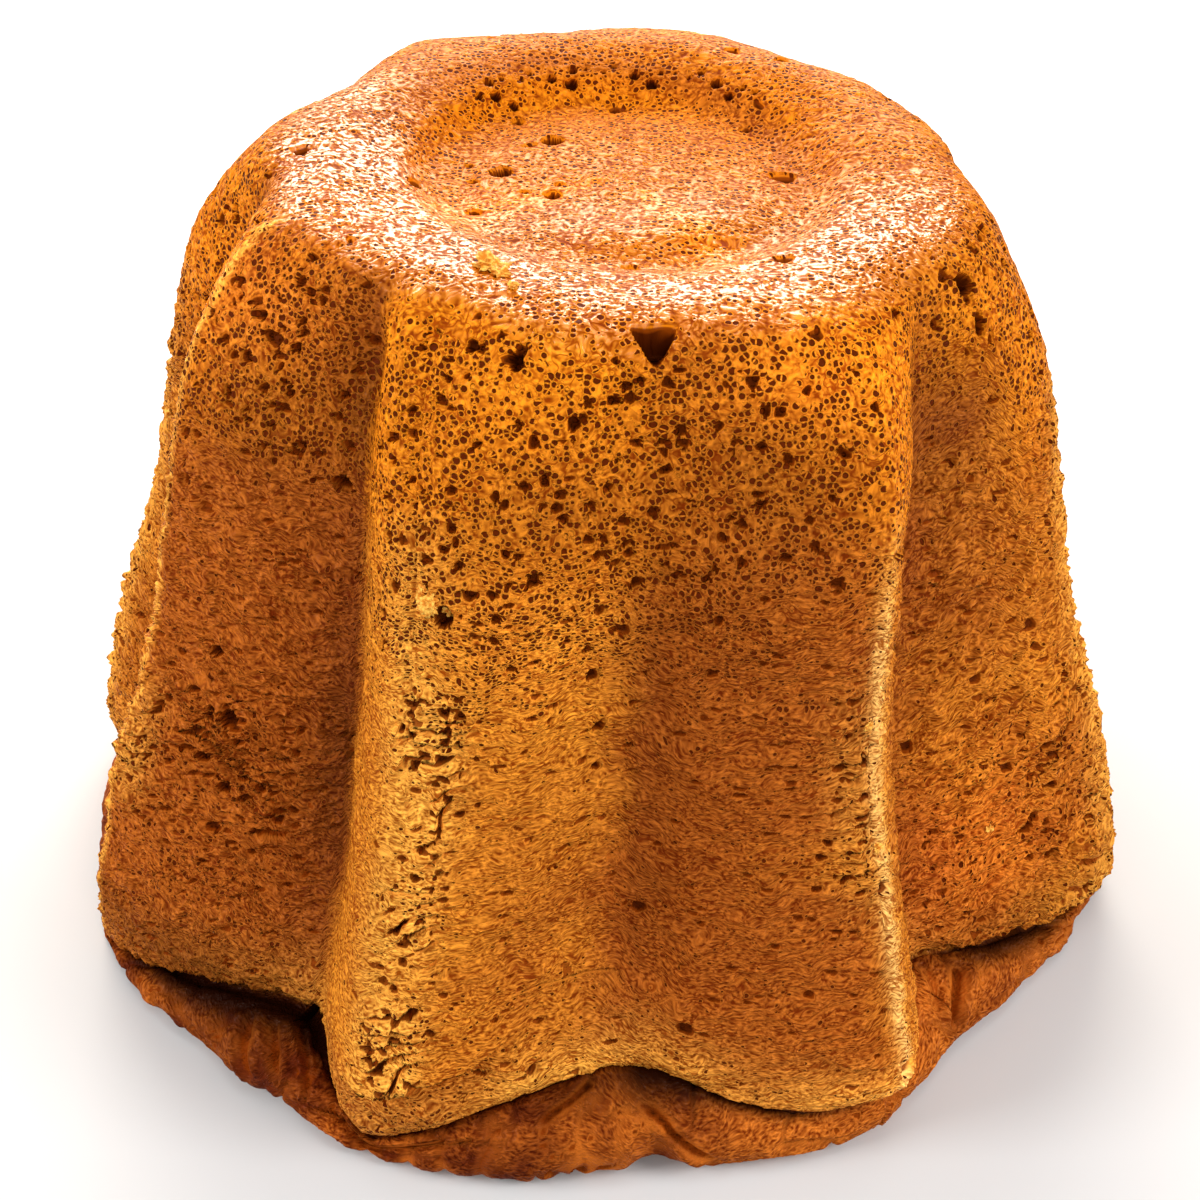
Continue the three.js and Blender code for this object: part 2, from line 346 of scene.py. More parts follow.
rings = [np.arange(ring_start[i], ring_start[i + 1]) for i in range(len(ring_count))]
side_rings = rings[: len(side_along)]
top_rings = [rings[0]] + rings[len(side_along):]
top_pole, bottom_pole = len(along), len(along) + 1
under_start = len(along) + 2
UNDER_SHARES = (0.97, 0.85, 0.6, 0.3, 0.1)  # rings of the underside, parts of the foot
under_rings = [under_start + np.arange(AROUND) + i * AROUND for i in range(len(UNDER_SHARES))]

down_rings = side_rings + under_rings
side_faces = np.concatenate(
    [ring_faces(lower, upper) for upper, lower in zip(down_rings[:-1], down_rings[1:])]
)
last = under_rings[-1]
side_column = np.tile(np.arange(AROUND), 2 * (len(down_rings) - 1))
under_fan = np.stack([np.roll(last, -1), last, np.full(AROUND, bottom_pole)], 1)
side_faces = np.concatenate([side_faces, under_fan])
side_column = np.append(side_column, np.arange(AROUND))
middle_ring = top_rings[-1]
top_fan = np.stack([middle_ring, np.roll(middle_ring, -1), np.full(len(middle_ring), top_pole)], 1)
top_faces = np.concatenate(
    [ring_faces(outer, inner) for outer, inner in zip(top_rings[:-1], top_rings[1:])] + [top_fan]
)
all_faces = np.concatenate([side_faces, top_faces])
print(len(side_faces), "triangles on the side,", len(top_faces), "on the top")


# %% Points and normals of the smooth body
def vertex_normals(points, faces):
    """Each point's outward direction: the area-weighted sum of its triangles' normals,
    which are the cross products of two of their edges."""
    a, b, c = points[faces[:, 0]], points[faces[:, 1]], points[faces[:, 2]]
    cross = np.cross(b - a, c - a)
    total = np.stack([
        sum(np.bincount(faces[:, k], cross[:, n], len(points)) for k in range(3))
        for n in range(3)
    ], 1)
    return total / np.maximum(np.linalg.norm(total, axis=1), 1e-12)[:, None]


def with_ends(crust):
    """Adds the two poles and the flat rings of the underside to the crust's points."""
    pole = crust[top_rings[-1]].mean(0)
    foot = crust[side_rings[-1]]
    under = np.concatenate([foot * [share, share, 0] for share in UNDER_SHARES])
    return np.concatenate([crust, [pole, [0, 0, 0]], under])


smooth = body(around, along) - MIDDLE
outward = vertex_normals(with_ends(smooth), all_faces)[: len(smooth)]
turn, near, lobe, weight = star(around)[:4]
ridge_line = body(2.0 * lobe + 1, along) - MIDDLE
off_ridge = np.linalg.norm(smooth - ridge_line, axis=1) * np.where(around % 2 < 1, -1, 1)
height = smooth[:, 2]
print("smooth crust from", height.min().round(1), "to", height.max().round(1), "mm high")


# %% [markdown]
# ## Relief
# Everything finer than the lobes is height added along the outward direction, in
# millimetres. It comes in layers, as the real crust does: slow swells where the dough
# sagged, a fibrous grain that lies level because the crumb rose and was pulled, pores,
# ridges torn by the mould, and folds near the foot. A second number, `hollow`, goes with
# it: how far a point lies inside a pore or crease, so that painted shade can darken the
# colour there.

# %% Regions of the crust
def tell(what, chosen):
    """Prints what share of the crust's points something covers."""
    print(what, "on", round(100 * float(chosen.mean()), 1), "% of the points")


wobble = cloud(smooth, 14, 1)
golden = 1 - step(along + 0.15 * wobble, 11.9, 12.3)  # 1 above the foot
skin = 1 - step(along + 0.35 * wobble, 4.2, 4.8)  # 1 on the glazed top
side = golden * (1 - skin)
shoulder = step(along, 4.3, 5.2) * (1 - step(along + 0.7 * wobble, 6.6, 7.6))
flank = step(along, 6.0, 7.4) * golden
edge = step(along, 9.6, 11.0) * golden
from_middle = np.hypot(smooth[:, 0], smooth[:, 1])
facing_front = np.clip(np.cos(np.radians(turn)), 0, 1)

# slow swells, valleys pulled in under the shoulder, and a fuller front of the dimple
relief = 0.7 * cloud(smooth, 42, 0) + 0.35 * cloud(smooth, 13, 1)
relief -= 1.6 * (1 - near) ** 3 * hill(height, 138, 13) * step(along, 4, 5)
relief -= 2.2 * hill(turn, -39.5, 5) * hill(height, 142, 9) * step(along, 4, 4.8)
relief += 2.8 * hill(from_middle, 30, 9) * facing_front * (along < CREST_STATION)
hollow = np.zeros(len(smooth))
tell("golden side", side)


# %% Grain
def ridges(points, size, layer=0):
    """Thin winding ridges: noise folded at zero, so that it is 1 along the lines where the
    noise changes sign and 0 where it is far from zero."""
    return np.clip(1 - 3 * np.abs(cloud(points, size, layer)), 0, 1)


# how much the fibres climb towards the ridge, before and after each lobe's ridge
CLIMB = np.array([
    0.3, 0.3, 0.3, 0.45, 0.1, -0.05, 0.25, 0.3, 0.6, 0.4, 0.3, 0.3, 0.3, 0.3, 0.3, 0.3,
])
# how coarse the grain of each half lobe is
COARSENESS = np.array([
    1.0, 1.0, 1.2, 1.4, 0.5, 0.5, 0.65, 0.8, 1.6, 1.0, 0.8, 0.8, 0.8, 0.8, 1.0, 1.0,
])


def by_half(values):
    """A value for each half lobe, run smoothly from the middle of one to the next."""
    closed = np.append(values, values[0])
    before = np.floor(around - 0.5).astype(int)
    share = step(around - 0.5 - before, 0.25, 0.75)
    return closed[before % HALVES] * (1 - share) + closed[before % HALVES + 1] * share


# lay is the height that fibres follow, flow a place drawn out along them
lay = height + 36 * by_half(CLIMB) * (1 - near) * step(140 - height, 0, 80)
lay = lay + flank * (1.5 * cloud(smooth, 8, 0) + 0.8 * cloud(smooth, 3.6, 1))
sway = np.stack([cloud(smooth, 5, i) for i in (0, 1, 2)], 1)
pull = smooth + 1.6 * sway
flow = np.stack([smooth[:, 0], smooth[:, 1], 2.8 * lay], 1) + 1.2 * sway
relief += 0.2 * ridges(pull, 3.0, 1) * (1 - flank) * golden * (1 - 0.8 * skin)
relief += (0.12 * ridges(pull, 5.5, 0) + 0.1 * cloud(smooth, 1.8, 2)) * skin
fibres = 0.55 * ridges(flow, 7.5, 3) + 0.45 * ridges(flow, 4.0, 0) + 0.22 * ridges(flow, 2.4, 2)
relief += fibres * by_half(COARSENESS) * flank
print("grain from", relief.min().round(2), "to", relief.max().round(2), "mm")

# %% Pores
ALL = slice(None)  # chooses every point


def sink(where, depth, share, mark):
    """Lowers the chosen points by depth * share and marks them as at least this hollow."""
    relief[where] -= depth * share
    hollow[where] = np.maximum(hollow[where], mark)


def dig(pores, depth):
    """Sinks pores, given as 0 to 1, with the deeper ones marked as more hollow."""
    sink(ALL, depth, pores, pores * min(1.0, 0.35 + 0.5 * depth))


def open_cells(points, size, present, layer):
    """The cells that the surface cuts open: those whose own chance is below `present`,
    with a thin wall left standing round each."""
    inside, chance = cells(points, size, layer)
    return step(inside, 0.06, 0.4) * (chance < present)


# where the crust is foam, and the two faces that stay calm below their shoulders
right_calm = hill(turn, 51, 12, 4)
left_calm = hill(turn, -54, 13, 4)
calm = right_calm * (1 - step(height, 122, 140)) + left_calm * (1 - step(height, 112, 128))
front_foam = hill(height, 122, 16) * hill(turn, -6, 19)
left_foam = hill(height, 126, 11) * hill(turn, -52, 9) * (1 - calm)
patches = np.clip(0.45 * cloud(smooth, 19, 2) + 0.15, 0, 1) * step(height, 95, 115) * (1 - calm)
foamy = np.clip(front_foam + 0.8 * left_foam + patches, 0, 1) * side
slits = 0.06 * flank + 0.1 * edge + 0.1 * flank * step(np.abs(turn), 40, 48)
dig(open_cells(smooth, 2.0, 0.26 * foamy + 0.07 * shoulder * (1 - calm), 1), 1.2)
dig(open_cells(smooth * [1, 1, 2.4], 2.6, slits, 3), 1.0)
dig(open_cells(smooth * [1, 1, 1.4], 3.4, 0.012 * golden, 0), 1.3)
tell("pores", hollow > 0.3)

# %% Torn ridges
# strength, offset from the ridge in mm, lowest and highest height
TORN = np.array([
    [0.3, 0.0, 15, 100],
    [0.7, 3.5, 35, 75],
    [1.6, 4.0, 14, 110],
    [1.3, -3.0, 45, 104],
    [0.5, -6.0, 15, 60],
    [0.8, 3.0, 20, 105],
    [0.8, -3.0, 15, 110],
    [0.7, 2.0, 20, 115],
])
# torn patches on the faces: turn, height, radius, strength
TORN_PATCHES = np.array([
    [-55.7, 62, 9, 1.1],
    [-50, 50, 6, 0.7],
    [64.2, 52, 8, 0.8],
    [63, 32, 6, 0.7],
    [-40, 65, 5, 0.4],
    [150, 70, 10, 0.6],
])
strength, offset, lowest, highest = TORN[lobe].T
band = hill(off_ridge, offset, 4.5)
band *= step(height, lowest, lowest + 12) * (1 - step(height, highest - 25, highest))
torn = strength * band * np.clip(0.7 + 0.9 * cloud(smooth, 15, 3), 0, 1.3)
ridge_torn = np.clip(torn, 0, 1)
for middle, high, wide, much in TORN_PATCHES:
    across = (turn - middle) * from_middle * math.radians(1)
    torn = torn + much * np.exp(-((across**2 + (height - high) ** 2) / wide**2))
torn = np.clip(torn, 0, 1) * golden


def shingle(slant, size, wander, layer):
    """Layers that overlap like shingles: a saw wave going down the side, rising from 0 to
    1 and falling back at once, made uneven by noise on its phase."""
    phase = (slant * np.clip(off_ridge, -6, 8) - lay) / size
    phase = phase + wander * cloud(smooth, 2.2 * size, layer)
    return phase - np.floor(phase)


# large flakes with gaps under them on the torn parts, and thin layers over the flanks
flake = shingle(0.4, 3.6, 1.3, 1)
loose = torn * step(cloud(smooth, 3.4, 2), -0.5, 0.1)
gap = loose * (1 - step(flake, 0.1, 0.35))
relief += 1.6 * loose * flake
sink(ALL, 1.8, gap, np.clip(1.2 * gap, 0, 1))
dig(open_cells(smooth * [1, 1, 1.7], 2.6, 0.42 * torn, 2), 1.3)
layers = shingle(0.0, 2.3, 1.1, 2)
layered = step(cloud(smooth * [1, 1, 2.6], 7, 0), -0.1, 0.5) * flank
relief += 0.35 * layered * layers
hollow = np.maximum(hollow, 0.5 * layered * (1 - step(layers, 0.05, 0.3)))
tell("torn crust", torn > 0.3)

# %% [markdown]
# ## Folds, creases and big holes
# The features that make this loaf itself and no other are set one by one. A crease or a
# ledge follows a line drawn on the unrolled side, given by a few turns round the loaf and
# distances down from the tuck under the golden edge. A big hole is a ragged ball taken
# out of the crust, because a burst bubble is round inside and torn at its rim.

# %% Lines on the unrolled side
TURN_MM = 100 * math.radians(1)  # a degree of turn, in mm on a circle of 100 mm

side_points = len(side_along) * AROUND
side_grid = smooth[:side_points].reshape(len(side_along), AROUND, 3)
run = np.linalg.norm(np.diff(side_grid, axis=0), axis=2)
down_grid = np.vstack([np.zeros(AROUND), np.cumsum(run, axis=0)])
tuck_row = int(np.argmin(np.abs(side_along - TUCK_STATION)))
down = (down_grid - down_grid[tuck_row]).ravel()
flat = np.stack([((turn[:side_points] + 180) % 360 - 180) * TURN_MM, down], 1)
waver = 0.9 * cloud(smooth[:side_points], 5, 2)


def along_line(line, reach):
    """Points of the side within `reach` mm of a line through (turn, down) places. Gives
    their numbers, their signed distance to it (plus is below a line that runs to the
    right) and how far along it they are: the nearest place on each straight bit."""
    line = np.array(line, float)
    line = catmull_rom(line, np.linspace(0, len(line) - 1, 6 * len(line))) * [TURN_MM, 1]
    low, high = line.min(0) - reach, line.max(0) + reach
    chosen = np.flatnonzero(((flat > low) & (flat < high)).all(1))
    start, piece = line[:-1], np.diff(line, axis=0)
    gap = flat[chosen][:, None] - start
    part = np.clip((gap * piece).sum(-1) / (piece**2).sum(-1), 0, 1)
    off = gap - part[..., None] * piece
    distance = np.linalg.norm(off, axis=-1)
    nearest = np.argmin(distance, axis=1)
    row = np.arange(len(chosen))
    across, downward = off[row, nearest].T
    below = np.sign(piece[nearest, 0] * downward - piece[nearest, 1] * across)
    share = (nearest + part[row, nearest]) / len(piece)
    return chosen, below * distance[row, nearest] + waver[chosen], share


def taper(share, ends=0.2):
    """1 along most of a line, going to 0 at both of its ends."""
    return step(share, 0, ends) * (1 - step(share, 1 - ends, 1))


def crease(line, depth, width=1.0, lip=0.35):
    """A sharp fold inwards with a soft lip on both sides."""
    chosen, off, share = along_line(line, 6 * width + 2)
    off, fade = np.abs(off), taper(share)
    relief[chosen] += fade * lip * hill(off, 2.2 * width, width)
    cut = fade * np.exp(-off / width)
    sink(chosen, depth, cut, cut * min(1.0, 0.45 * depth))


def ledge(line, height, undercut, width=1.6):
    """A layer that hangs over the one below: a lip above the line and a step in under it."""
    chosen, off, share = along_line(line, 6 * width + 2)
    fade = taper(share, 0.3)
    relief[chosen] += fade * height * hill(np.minimum(off, 0), 0, 2 * width) * (off < 0)
    under = fade * np.exp(-off / (1.5 * width)) * (off >= 0)
    sink(chosen, undercut, under, 0.6 * under * step(-off, -width, 0))


# %% Holes in the crust
around_table = np.linspace(0, HALVES - 1e-6, 4000)
turn_table = star(around_table)[0]


def place_on(at_turn, at_along):
    """The smooth body's point at a turn and a station."""
    at_turn = (at_turn - turn_table[0]) % 360 + turn_table[0]
    at_around = np.interp(at_turn, turn_table, around_table)
    return body(np.array([at_around]), np.array([at_along]))[0] - MIDDLE


def hole(at_turn, at_along, radius, depth, tall=1.0, ragged=0.35):
    """Takes out a ragged ball: the depth follows 1 - (distance / radius)² with noise on
    the distance, and is steep at the rim."""
    middle = place_on(at_turn, at_along)
    near_it = np.flatnonzero(np.abs(smooth - middle).max(1) < 2.5 * radius * max(1, tall))
    gap = (smooth[near_it] - middle) / [radius, radius, radius * tall]
    distance = (gap**2).sum(1) + ragged * cloud(smooth[near_it], max(1.2, radius), 1)
    pit = step(1 - distance, 0.0, 0.55)
    sink(near_it, depth, pit, step(pit, 0, 0.25))


def notch_hole(at_turn, at_down, wide, tall, depth):
    """Takes out a three-cornered hole that points down: its half width shrinks from `wide`
    at the top to nothing `tall` further down, with ragged edges."""
    across = (turn[:side_points] - at_turn) * TURN_MM * 0.7 + 0.9 * waver
    below = down - at_down + 0.7 * cloud(smooth[:side_points], 3, 1)
    inside = np.minimum(wide * (1 - below / tall) - np.abs(across), below)
    pit = step(inside, -0.2, 0.9)
    sink(slice(side_points), depth, pit, step(pit, 0, 0.25))


def top_along(radius):
    """The station on the top at a distance from its middle."""
    return float(np.interp(radius, STATIONS[: CREST_STATION + 1, 0], range(CREST_STATION + 1)))


# %% Folds of this loaf
ledge([(-31, -8), (-26, -14.5), (-19.9, -15.8), (-16.1, -15.1), (-12.3, -15.9), (-7, -18)], 1.5, 3.0)
ledge([(-14, -26), (-6.6, -25), (-1, -23.5), (4, -21)], 0.8, 0.5)
ledge([(-47, -95), (-44, -93), (-40, -90)], 1.2, 1.6)
ledge([(-50, -52), (-44, -50), (-38, -49)], 0.7, 0.7)
ledge([(22, -17), (27, -14), (32, -12)], 0.6, 0.9)
ledge([(7, -62), (12, -64), (17, -61)], 0.6, 0.7)
ledge([(4, -104), (9, -102), (14, -104)], 0.5, 0.6)
ledge([(58, -40), (64, -37), (70, -37)], 0.5, 0.6)
ledge([(-36, -63), (-33.5, -60), (-30, -52), (-29, -46)], 0.6, 0.7)
crease([(30, -9.5), (33, -9.5)], 1.6)
crease([(-50.5, -37.5), (-46.5, -36.5)], 2.2, 0.8)
crease([(66, -16), (68.3, -13.5), (72, -13.4)], 2.6, 1.0)
crease([(64, -9), (69, -7)], 1.6, 1.0)
crease([(-56, -40), (-52, -38)], 1.2, 0.7)
crease([(0, -44), (2, -45)], 1.0, 0.7)

# %% Holes of this loaf
notch_hole(3.4, -142.5, 4.4, 7.5, 5.5)  # in the front shoulder
# in the side: turn, station, radius and depth in mm, height to width
for side_hole in (
    (56.7, 5.14, 2.2, 3.5, 1.2),
    (57.9, 5.63, 1.4, 2.4, 1.8),
    (-43.2, 6.8, 2.0, 3.5, 0.7),
    (-19.9, 7.12, 1.7, 3.0, 1.3),
    (-12.8, 5.12, 1.3, 2.2, 1.3),
    (-18.6, 5.07, 1.0, 1.6, 1.6),
    (-5.7, 5.63, 1.1, 1.8, 1.1),
    (-2.9, 7.47, 1.1, 2.0, 1.2),
    (-1.9, 7.74, 1.3, 2.0, 0.9),
    (-2.1, 7.95, 1.0, 1.6, 1.0),
    (-54.5, 8.3, 1.7, 2.2, 0.8),
    (-56.5, 8.6, 1.6, 2.2, 0.9),
    (-53.8, 8.8, 1.5, 2.2, 0.8),
    (-52.0, 8.5, 1.2, 2.0, 0.8),
    (-57.0, 7.9, 1.4, 2.0, 0.9),
    (64.3, 8.8, 1.5, 2.2, 0.7),
    (64.1, 9.15, 1.7, 2.4, 0.6),
    (66.5, 8.95, 1.3, 2.0, 0.7),
    (62.7, 9.77, 1.7, 2.6, 0.6),
    (65.5, 9.8, 1.3, 2.0, 0.6),
    (60.4, 9.4, 1.1, 1.8, 0.7),
    (140.0, 5.2, 2.6, 3.5, 1.2),
    (-150.0, 6.4, 2.2, 3.0, 1.3),
    (100.0, 7.2, 1.8, 2.6, 1.0),
    (170.0, 8.1, 1.6, 2.4, 1.0),
):
    hole(*side_hole)
# in the top: turn, station, radius and depth in mm, raggedness
for at_turn, at_along, radius, depth, ragged in (
    (-137.7, 0.98, 2.1, 3.6, 0.35),
    (-93.5, 1.15, 1.8, 3.4, 0.7),
    (-58.9, 0.72, 1.7, 2.8, 0.4),
    (-61.0, 1.71, 1.3, 2.4, 0.5),
    (-141.6, 1.89, 1.2, 2.0, 0.35),
    (-71.7, 0.58, 0.8, 1.6, 0.5),
    (-69.2, 0.92, 0.9, 1.6, 0.5),
    (-100.0, 1.6, 0.8, 1.4, 0.4),
    (-86.0, 1.5, 0.8, 1.4, 0.4),
    (-145.0, 2.3, 0.9, 1.6, 0.4),
):
    hole(at_turn, at_along, radius, depth, 1.0, ragged)
# a ring of small pores in the back wall of the dimple
for i, at_turn in enumerate(np.linspace(142, 224, 22)):
    jitter = math.sin(5.3 * i) + math.sin(2.1 * i)
    size = 0.55 + 0.75 * math.sin(3.7 * i) ** 4
    hole(at_turn + jitter, top_along(39.0 + 1.3 * jitter), size, 1.2 + size, 0.8)
tell("pores, folds and holes", hollow > 0.3)

# %% [markdown]
# ## The foot
# Where the mould was open the dough rose over its rim and dried to a dark, leathery roll.
# It is puckered towards the valleys, where there was less room for it, and its edge is
# split by a groove along the front left. Between it and the golden edge above lies a gap,
# painted dark as the shade in it, which is widest in three places along the front.

# %% The leathery roll
foot = step(along, 12.2, 13.0)
roll = foot * (1 - step(along, 15.2, 16))
spoke = np.stack([TURN_MM * ((turn + 180) % 360 - 180), 0.3 * height, height * 0], 1)
spoke = spoke + 1.2 * sway
pucker = ridges(spoke, 6.5, 1) ** 2 * np.clip(0.3 + cloud(smooth, 24, 3), 0, 1)
tuck = hill(along, 12.6, 0.42) * np.clip(0.7 + 0.8 * cloud(smooth, 12, 2), 0, 1)
relief -= 2.2 * tuck

# painted shade in the gap under the golden edge: how dark it is, and where it is wide
wide_gap = hill(turn, -52, 13, 4) + hill(turn, 57, 11, 4) + 0.9 * hill(turn, 1, 11, 4)
facing = hill(turn, 16, 17, 4) + hill(turn, -52, 20, 4) + hill(turn, 60, 12, 4)
gap_shade = hill(along, 12.7 + 0.1 * wide_gap, 0.6 + 0.25 * wide_gap, 4)
gap_shade *= np.clip(0.35 + 0.75 * facing + 0.3 * cloud(smooth, 9, 1), 0, 1)

# swells and fine leather, sharp wrinkles, puckers, a few pores
leather = smooth + 2.5 * np.stack([cloud(smooth, 9, i) for i in (3, 0, 1)], 1)
fine = 0.38 * cloud(smooth, 3.6, 2) + 0.12 * ridges(pull, 1.7, 3) + 0.05 * cloud(smooth, 1, 0)
relief += roll * (1.1 * cloud(smooth, 17, 1) + 1.6 * (1 - near) ** 2 + fine)
wrinkle = ridges(leather * [1, 1, 1.4], 8, 2) ** 3
sink(ALL, 0.9, roll * wrinkle, 0.25 * roll * wrinkle)
sink(ALL, 1.5, roll * pucker, 0.7 * roll * pucker)
dig(open_cells(smooth, 1.6, 0.06 * roll, 1), 0.5)
tell("dark gap", gap_shade > 0.5)

# %% Folds of the foot
ledge([(-40.2, 19), (-37.3, 15.4), (-33.7, 11.6), (-30.5, 7), (-26.4, 4.6), (-20, 4),
       (-15.9, 4.5), (-9.4, 7.9), (-4.7, 11.6)], 0.7, 2.4, 1.3)
crease([(-45, 8), (-44.5, 9.6), (-42.6, 15.4), (-40.2, 19)], 1.8, 0.9, 0.9)
crease([(-42, 8.5), (-40.8, 11.4), (-37.3, 15.4)], 1.8, 0.8, 0.8)
crease([(-39.5, 5), (-38.8, 6.7), (-34.8, 8.4), (-32, 9)], 1.6, 0.8, 0.8)
crease([(-36.5, 4), (-35.5, 6), (-32.5, 7)], 1.3, 0.8, 0.6)
crease([(-48, 9), (-47, 12), (-46, 16)], 1.0, 0.8, 0.6)
crease([(-53, 8), (-51, 12), (-50, 14)], 0.8, 0.8, 0.5)
crease([(-6, 8.5), (-3.2, 6.5), (-1.5, 5), (0.5, 3.5)], 2.0, 0.9, 0.8)
crease([(4.6, 7.6), (6.8, 9.2), (8.2, 10.5), (9.0, 12.5), (10.6, 14), (14.5, 15.5)], 2.4, 1.0, 1.1)
crease([(1.0, 10.5), (4.0, 9.8), (6.4, 11.5), (7.4, 14.5)], 0.9, 0.7, 0.9)
crease([(48.8, 6.5), (47.8, 8.7), (45.4, 13.3), (43.1, 17.8)], 2.4, 1.0, 1.1)
crease([(45, 4), (44, 8), (42, 12)], 1.2, 0.8, 0.6)
crease([(52, 6), (51, 9), (49.5, 13)], 0.8, 0.8, 0.5)
crease([(61, 9), (65, 7), (69, 6)], 1.6, 0.9, 0.9)
crease([(62, 3), (64, 5.5), (65, 9)], 1.4, 0.8, 0.7)
crease([(18, 9), (22, 8), (27, 9.5)], 0.9, 0.8, 0.6)
for at_turn, at_along, radius in ((-1.1, 15.0, 1.4), (1.7, 15.0, 1.1), (-4.0, 14.9, 0.8)):
    hole(at_turn, at_along, radius, 1.8)
print("relief from", relief.min().round(1), "to", relief.max().round(1), "mm")

# %% [markdown]
# ## The finished crust
# The relief is added along the outward direction and dies away at the floor, so that the
# loaf still stands flat. In front the foot is notched, where it was pinched in the mould.

# %% The finished points
relief = relief * step(FLOOR_STATION - along, 0.0, 0.7)
crust = smooth + outward * relief[:, None]
notch = hill(turn, 6.8, 2.4) * step(along, 13.6, 14.8)
crust[:, :2] *= (1 - 0.026 * notch)[:, None]
crust[:, 2] += 1.3 * notch * step(FLOOR_STATION - along, 0, 0.9)
crust[:, 2] = np.maximum(crust[:, 2], 0)
points = with_ends(crust)
normals = vertex_normals(points, all_faces)
print("crust, mm:", crust.min(0).round(1), crust.max(0).round(1))

# %% [markdown]
# ## Colour
# Baking colours the crust by how near it came to the hot mould and how long it stayed
# there: the ridges are pale gold, the sides run from honey to brown, the top is glazed
# amber, and the foot is dark. The walls of open cells are lighter than the crust, and
# their insides much darker with painted shade. Painted shade also goes into the valleys,
# creases, holes, the crease of the dimple and the gap under the golden edge, and onto the
# faces that get less light; painted highlights go along two ridges. All this is worked
# out at the points and kept as an attribute.

# %% Palette
def linear(red, green, blue):
    """A display colour as the light it stands for: ((c + 0.055) / 1.055)^2.4."""
    c = np.array([red, green, blue]) / 255
    return np.where(c > 0.04045, ((c + 0.055) / 1.055) ** 2.4, c / 12.92)


HONEY = linear(222, 130, 30)
BROWN = linear(166, 80, 18)
AMBER = linear(220, 116, 12)
UMBER = linear(118, 50, 10)
GOLD = linear(234, 152, 52)
RIDGE_HIGHLIGHT = linear(248, 190, 104)
FOAM = linear(190, 98, 18)
GLAZE = linear(200, 102, 5)
FOOT = linear(166, 76, 16)
FOOT_GOLD = linear(180, 90, 22)
FOOT_DARK = linear(92, 30, 5)
LAYER = linear(180, 98, 28)
HOLLOW_SHADE = linear(80, 20, 1)

# how dark each half lobe is, before and after its ridge: partly the crust's own browning,
# partly painted shade on the faces that get less light
BROWNING_AND_SHADE = np.array([
    0.7, 0.6, 0.6, 1.2, 0.2, 0.3, 1.15, 0.6, 0.65, 0.7, 0.5, 0.6, 0.7, 0.5, 0.6, 0.7,
])
# deepest painted shade of each valley, where less light reaches
VALLEY_PAINTED_SHADE = np.array([0.7, 1.0, 0.45, 0.5, 0.6, 0.6, 0.7, 0.6])
# the ridges of these two lobes get a painted line of light
LEFT_LOBE, RIGHT_FRONT_LOBE = 1, 3  # the lobes whose ridges catch a thin line of light

# paler and darker spots, partly the crust's uneven tone, partly painted light and shade (as
# in the left valley and under the golden edge): turn, height, half width, half height,
# change of brightness
TONE_AND_LIGHT_SPOTS = np.array([
    [-9, 104, 9, 12, 0.25],
    [24, 144, 10, 6, 0.35],
    [54.6, 32, 9, 22, 0.55],
    [-54, 126, 10, 12, -0.28],
    [18, 131, 10, 10, -0.28],
    [-41.6, 60, 5, 32, -0.35],
    [-25.5, 54, 3, 25, -0.15],
    [-9.4, 6.5, 14, 8, -0.2],
    [52.7, 6.7, 9, 8, 0.1],
    [17, 60, 9, 40, -0.12],
    [33, 14, 12, 9, 0.35],
    [-8, 124, 14, 12, -0.23],
    [-55, 12, 14, 8, -0.45],
    [58, 15, 12, 8, -0.35],
    [-62, 143, 14, 9, 0.45],
    [-40, 130, 5, 14, -0.4],
    [-27, 138, 6, 10, -0.15],
    [50, 126, 11, 16, -0.35],
    [15, 105, 10, 14, -0.13],
    [50, 95, 10, 20, -0.12],
])


# %% Colours at the points
def paint(color, over, share):
    """Mixes another colour over the one there, by a share for each point."""
    return color + (over - color) * np.clip(share, 0, 1)[:, None]


browning_and_shade = by_half(BROWNING_AND_SHADE) + 0.35 * cloud(smooth, 30, 2) + 0.2 * cloud(smooth, 9, 0)
# darker towards the valleys: painted shade
browning_and_shade = browning_and_shade + 0.25 * (1 - near) ** 3
crown = step(height + 9 * wobble, 104, 132) * (1 - 0.85 * calm)
amber = crown * (1 - skin) * np.clip(1.4 - 0.8 * browning_and_shade, 0.15, 0.9)
valley = np.where(around % 2 < 1, lobe - 1, lobe) % LOBE_COUNT
# painted shade in the valleys
painted_valley_shade = VALLEY_PAINTED_SHADE[valley] * (1 - near) ** 3 * step(-along, -11.5, -9) * (1 - skin)

# pale ridges: broad on most lobes; on the right front one a narrow painted line of light
# with a painted highlight beside it, and on the left one only a painted line of light
on_left, on_right_front = lobe == LEFT_LOBE, lobe == RIGHT_FRONT_LOBE
strip_middle = np.where(on_right_front, 2.2, 0)
strip_half = np.where(on_right_front, 2.6, 5)
strip = 0.7 * hill(off_ridge, strip_middle, strip_half) * side * (1 - crown) * (1 - on_left)
left_ridge_highlight = 0.85 * hill(off_ridge, 0.2, 1.1) * on_left * side
right_ridge_highlight = 0.45 * hill(off_ridge, 1.5, 1.8) * on_right_front * golden * (1 - step(height, 95, 120))
# the pale lower edge is kept darker at the left and right, where it lies in shade: painted shade
shaded_edge = hill(turn, -55, 16, 4) + hill(turn, 56, 12, 4)
pale_edge = 0.8 * edge * (0.7 + 0.5 * cloud(smooth, 11, 3)) * (1 - 0.8 * shaded_edge)
torn_gold = 0.8 * ridge_torn * np.where(on_right_front, 0.35, 1)

